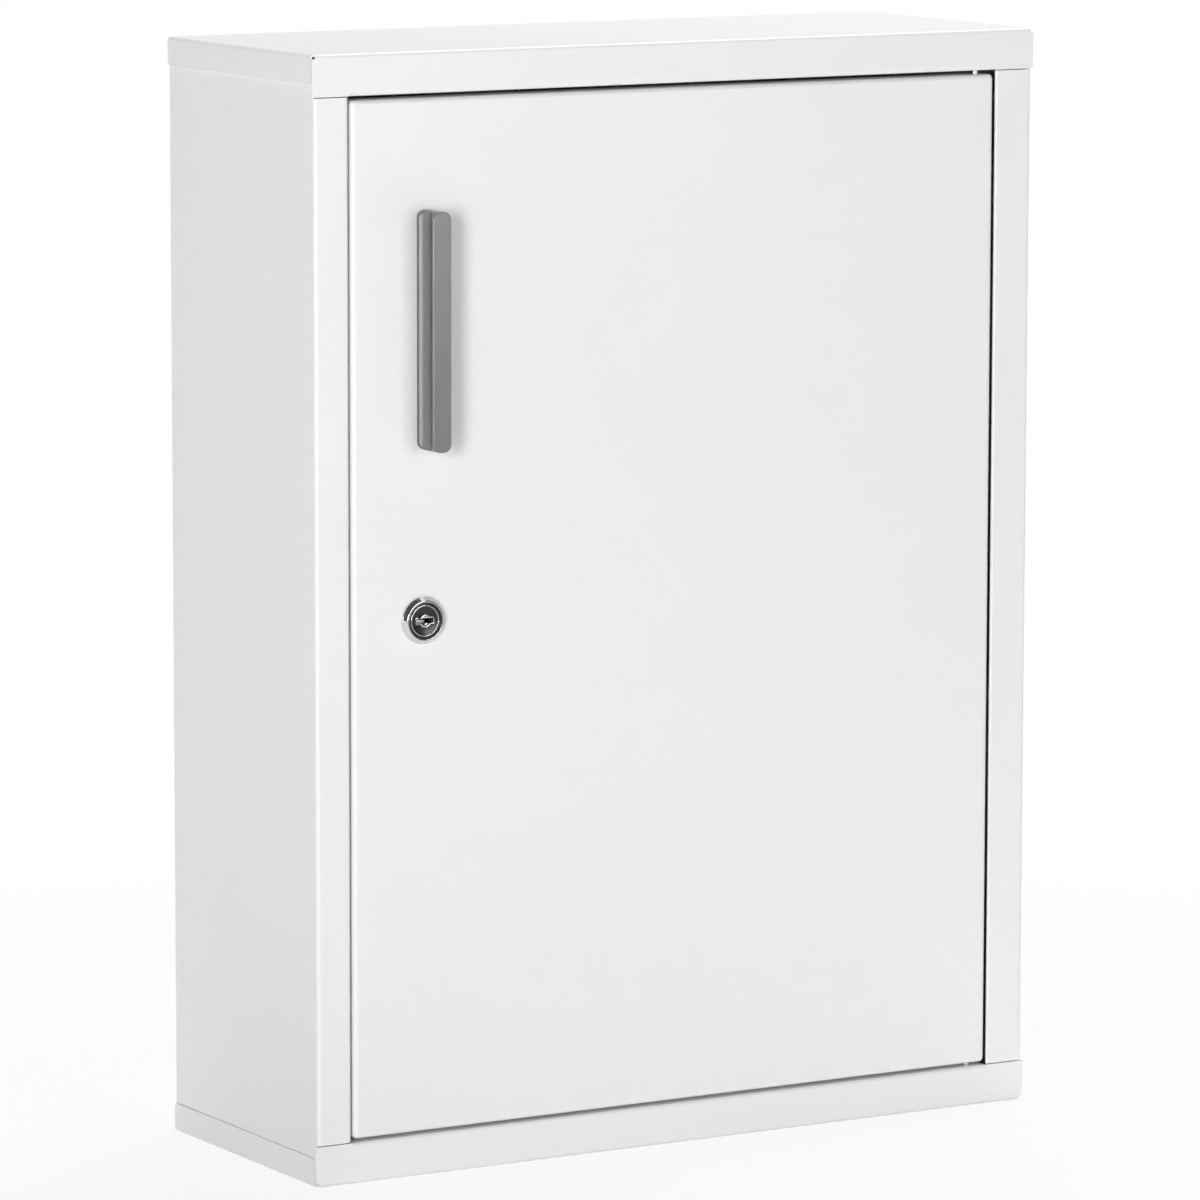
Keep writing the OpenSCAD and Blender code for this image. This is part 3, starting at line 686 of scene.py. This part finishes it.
def make_handle_fixings():
    """The two screws through the door into the handle, with their washers."""
    x = middle_of("handle", 0, 0)
    inner = middle_of("handle_washers", 1, 1)
    screw = cross_screw("handle_screw_1", shank=3.9, length=9.7, head=8, height=2.4, recess=4.4)
    washer = turned("handle_washer_1", [
        (2.25, 0, 0.1), (5, 0, 0.2), (5, 0.8, 0.25), (2.25, 0.8, 0.1)], 64)
    shade(washer, 28)
    pairs = [(screw, washer), (copy_of(screw, "handle_screw_2"), copy_of(washer, "handle_washer_2"))]
    for side, (each_screw, each_washer) in zip((-1, 1), pairs):
        z = middle_of("handle", 2, 0) + side * HANDLE_SCREW_REACH
        place = facing((x, inner, z), (0, -1, 0))
        for piece, node in ((each_screw, "handle_screws"), (each_washer, "handle_washers")):
            settle(piece, place)
            fit_piece(piece, "door", "zinc_plate", node)


def make_hinges():
    """Pins with domed heads and chamfered tips, and the collared bushes that turn on them."""
    head, reach = 1.2, 8.8
    pin = [
        (0, -head), (1.4, -head, 1.2), (3, -0.55, 0.6), (3, 0, 0.15), (1.5, 0), (1.5, 8.35), (1.1, reach),
        (0, reach),
    ]
    bush = [
        (1.55, 0.01, 0.25), (2.49, 0.01, 0.15), (2.49, 0.9), (3.49, 0.9, 0.2), (3.49, 2.4, 0.35), (3, 2.4),
        (3, 6.5, 0.5), (0.01, 6.5), (0.01, 4.9), (1.55, 4.9),
    ]
    for name, up in (("lower", 1), ("upper", -1)):
        x, y = (middle_of(name + "_hinge_pin", axis, 0) for axis in (0, 1))
        low, high = (middle_of(name + "_hinge_pin", 2, side) for side in (-1, 1))
        longer = high - low - head - reach
        # Only the tip moves out on the longer pin
        piece = turned(name + "_hinge_pin_turned", [
            (radius, height + longer if height > reach / 2 else height, *rest)
            for radius, height, *rest in pin
        ], 48)
        shade(piece, 28)
        settle(piece, facing((x, y, low + head if up > 0 else high - head), (0, 0, up)))
        fit_piece(piece, "cabinet", "zinc_plate", name + "_hinge_pin")
        piece = turned(name + "_hinge_bush_moulded", bush, 48)
        shade(piece, 28)
        edge = middle_of(name + "_hinge_bush", 2, -up)
        settle(piece, facing((x, y, edge), (0, 0, up)))
        fit_piece(piece, "door", "white_nylon", name + "_hinge_bush")


def make_bumpers():
    """Domed soft discs on the stop lip."""
    radius, height = 3, 0.99
    bumper = turned("door_bumper_1", [
        (0, -height), (1.2, -height, 1.2), (2.6, -0.7, 0.8), (radius, 0), (0, 0)], 48)
    shade(bumper, 40)
    x, seat = middle_of("door_bumpers", 0, 0), middle_of("door_bumpers", 1, 1)
    lowest, highest = middle_of("door_bumpers", 2, -1), middle_of("door_bumpers", 2, 1)
    pair = (bumper, copy_of(bumper, "door_bumper_2"))
    for piece, z in zip(pair, (lowest + radius, highest - radius)):
        settle(piece, facing((x, seat, z), (0, 1, 0)))
        fit_piece(piece, "cabinet", "rubber_pad", "door_bumpers")


# Magnetic catch -------------------------------------------------------------------------

def make_catch():
    """Moulded housing, two pole plates round a ferrite magnet, and two screws."""
    softened_copy("catch_housing", "catch_housing_moulded", 0.35, 3, clamp=True)
    low, high = (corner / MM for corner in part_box("catch_magnet"))
    middle = (low + high) / 2
    size = high - low
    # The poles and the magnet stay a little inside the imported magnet's box
    pole_thickness, play = 1.2, 0.02
    pole_size = (size.x - play, size.y - play, pole_thickness - play)
    lower = block("catch_pole_1", pole_size, (middle.x, middle.y, low.z + pole_thickness / 2))
    round_edges(lower, 0.18, 2)
    shade(lower)
    upper = copy_of(lower, "catch_pole_2")
    settle(upper, Matrix.Translation((0, 0, (size.z - pole_thickness) * MM)))
    for pole in (lower, upper):
        fit_piece(pole, "cabinet", "pole_steel", "catch_magnet")
    magnet_size = (size.x - 0.2, size.y - 1.1, size.z - 2 * pole_thickness)
    magnet = block("catch_ferrite", magnet_size, (middle.x, middle.y + 0.52, middle.z))
    round_edges(magnet, 0.25, 2)
    shade(magnet)
    fit_piece(magnet, "cabinet", "ferrite", "catch_magnet")
    head_height, screw_reach = 2, 17
    screw = cross_screw("catch_screw_1", shank=2.9, length=8, head=5.6, height=head_height, recess=3.2)
    x, y = middle_of("catch_screws", 0, 0), middle_of("catch_screws", 1, 0)
    seat = middle_of("catch_screws", 2, -1) + head_height
    for side, piece in ((-1, screw), (1, copy_of(screw, "catch_screw_2"))):
        settle(piece, facing((x + side * screw_reach, y, seat), (0, 0, 1)))
        fit_piece(piece, "cabinet", "zinc_plate", "catch_screws")


# Lock -----------------------------------------------------------------------------------

KEYWAY_LENGTH = 8
KEYWAY_WIDTH = 2.2
KEYWAY_CUT = 13
# Wall of the black keyway lining, which paints the shade inside the slot; the key guide has the same wall
KEYWAY_SHADE_WALL = 0.29
# Heights along the lock's axis are in mm behind the door's front face
KEYWAY_END = 9.1
STOP_RING_CUT = 16.2


def lock_place():
    """Z along the lock's axis to the back from the door's front face, X to the right, Y down."""
    x, z = middle_of("lock_barrel", 0, 0), middle_of("lock_barrel", 2, 0)
    point = Vector((x, middle_of("door_pan", 1, -1), z))
    return Matrix.Translation(point * MM) @ Matrix.Rotation(-math.pi / 2, 4, "X")


def keyway(wall=0.0):
    """Slot for the key, or the room for the black lining that paints the keyway's shade, with a wall all
    round.
    """
    size = (KEYWAY_LENGTH + 2 * wall, KEYWAY_WIDTH + 2 * wall, KEYWAY_CUT)
    return block("keyway", size, (0, 0, KEYWAY_END - KEYWAY_CUT / 2))


def turning_room():
    """What is cut from the stop ring: a quarter turn and the stop tab's own width."""
    room = rod("turning_room", 24, 2, (0, 0, STOP_RING_CUT), sides=144)
    # Half spaces beyond the ring's two lugs, 17 degrees past each end of the turn
    half_space = 30
    for angle, turn in ((17, math.pi / 2), (-107, -math.pi / 2)):
        along = Matrix.Rotation(math.radians(angle), 4, "Z") @ Matrix.Rotation(turn, 4, "Z")
        rest = block("rest", (half_space, half_space, 4), (half_space / 2, 0, STOP_RING_CUT))
        settle(rest, along)
        cut_away(room, rest)
    return room


def make_lock_barrel(place):
    """Collar and threaded barrel turned in one, with two flats, a stop ring and a ring in the collar."""
    barrel = turned("lock_barrel_turned", [
        (7.6, -2.9, 0.18), (8.3, -2.9, 0.22), (9.7, -1, 0.25), (9.7, 0, 0.08), (8, 0), (8, 3.9),
        *thread(8, depth=0.5, pitch=1, start=3.9, end=15),
        (8, 15.2), (8, 16.5, 0.15), (6.3, 16.5, 0.1), (6.3, 15.2),
        (5.55, 15.2), (5.55, 0), (6.55, 0), (6.55, -1.8, 0.12), (7.6, -1.8),
    ], 144)
    flats = [block("flat", (2, 20, 18), (side * 8, 0, 9.01)) for side in (-1, 1)]
    cut_away(barrel, *flats, turning_room())
    shade(barrel, 26)
    # Black ring that fills the groove between collar and plug, so the groove shows dark
    ring = turned("lock_barrel_ring", [
        (6.62, -1.82), (7.58, -1.82), (7.58, -2.3, 0.2), (7.3, -2.45, 0.2), (6.85, -2.45, 0.2),
        (6.62, -2.3, 0.2)], 96)
    shade(ring, 40)
    for piece, slot in ((barrel, "lock_chrome"), (ring, "lock_face")):
        settle(piece, place)
        fit_piece(piece, "door", slot, "lock_barrel")


def make_lock_plug(place):
    """Body, bright rim, dark dished face, raised core, key guide, keyway with a black lining of painted
    shade and its wafers, and tang.
    """
    body = turned("lock_plug_body", [
        (0, -0.3), (5.49, -0.3), (5.49, 15.5), (3.9, 15.5), (3.9, 15.6), (0, 15.6)], 96)
    cut_away(body, keyway(KEYWAY_SHADE_WALL + CUT_PAST))
    rim = turned("lock_plug_rim", [
        (5.92, -2.1), (6.05, -2.39, 0.12), (6.49, -2.39, 0.3), (6.49, -0.3), (5.92, -0.3)], 144)
    face = turned("lock_plug_face", [(0, -1.7), (4.6, -1.8), (5.9, -2.1), (5.9, -0.3), (0, -0.3)], 144)
    cut_away(face, keyway())
    length, width = KEYWAY_LENGTH + 2 * KEYWAY_SHADE_WALL, KEYWAY_WIDTH + 2 * KEYWAY_SHADE_WALL
    guide = block("lock_plug_key_guide", (length, width, 0.6), (0, 0, -2))
    cut_away(guide, keyway(), rod("core_seat", 5.6, 6, sides=96))
    round_edges(guide, 0.08, 2, 50)
    # Black lining inside the keyway: painted shade, so the slot's lit metal walls show dark
    keyway_shade = block("lock_plug_keyway", (length, width, 8.6), (0, 0, 4))
    cut_away(keyway_shade, keyway())
    core = turned("lock_plug_core", [
        (0, -2.2), (1.7, -2.25, 0.3), (2.15, -2.9, 0.2), (2.5, -2.9, 0.2), (2.79, -2.6, 0.2), (2.79, -1.68),
        (0, -1.68)], 96)
    cut_away(core, keyway())
    pieces = (
        (body, "zinc_plate"), (rim, "lock_chrome"), (face, "lock_face"), (guide, "lock_chrome"),
        (keyway_shade, "lock_face"), (core, "lock_chrome"))
    for piece, slot in pieces:
        shade(piece, 30)
        settle(piece, place)
        fit_piece(piece, "lock_core", slot, "lock_plug")
    tang = block("lock_plug_tang", (6.46, 6.46, 3.4), (0, 0, 16.9))
    cut_away(tang, rod("bore", 4, 5, (0, 0, 17), sides=48))
    round_edges(tang, 0.5, 3, 60)
    shade(tang, 30)
    settle(tang, place)
    fit_piece(tang, "lock_core", "zinc_plate", "lock_plug")
    # The wafers stand out from the keyway's long sides by turns
    wafer_count, first_wafer, wafer_step = 5, 3.2, 1.1
    wafer = block("keyway_wafer_1", (5.2, 0.8, 0.6), (0, 0.75, 0))
    round_edges(wafer, 0.1, 2)
    shade(wafer)
    copies = [copy_of(wafer, "keyway_wafer_%d" % number) for number in range(2, wafer_count + 1)]
    for number, piece in enumerate([wafer, *copies]):
        depth = Matrix.Translation((0, 0, (first_wafer + wafer_step * number) * MM))
        settle(piece, place @ depth @ Matrix.Rotation(number * math.pi, 4, "Z"))
        fit_piece(piece, "lock_core", "zinc_plate", "lock_plug")


def make_lock_fixings(place):
    """Chamfered nut, stop washer, cam and the screw that holds it."""
    across_flats, nut_height, nut_middle, cam_back = 20, 3, 2.4, 18.8
    across_corners = across_flats / math.cos(math.pi / 6)
    nut = rod("lock_nut_turned", across_corners, nut_height, (0, 0, nut_middle), sides=6)
    cone = turned("chamfer", [(9.7, 3.9), (14.6, 0.9), (16, 0.9), (16, 4.5), (9.7, 4.5)], 96)
    cut_away(nut, cone, rod("bore", 16.1, 5, (0, 0, nut_middle)))
    round_edges(nut, 0.15, 2, 25)
    shade(nut, 24)
    settle(nut, place)
    fit_piece(nut, "door", "zinc_plate", "lock_nut")
    softened_copy("key_stop_washer", "key_stop_washer_pressed", 0.15, 2, clamp=True)
    softened_copy("lock_cam", "lock_cam_pressed", 0.3, 3, clamp=True)
    screw = cross_screw("cam_screw_turned", shank=3.9, length=7, head=9, height=2.4, recess=4.8)
    settle(screw, place @ Matrix.Translation((0, 0, cam_back * MM)) @ Matrix.Rotation(math.pi, 4, "X"))
    fit_piece(screw, "lock_core", "zinc_plate", "cam_screw")


def make_lock():
    """All the lock's pieces."""
    place = lock_place()
    make_lock_barrel(place)
    make_lock_plug(place)
    make_lock_fixings(place)


place_camera()
light_studio_air()
hang_softboxes()
lay_floor()
finish_cad_nodes()
make_sheets()
make_handle()
make_handle_fixings()
make_hinges()
make_bumpers()
make_catch()
make_lock()

bpy.context.scene.view_settings.view_transform = "Standard"
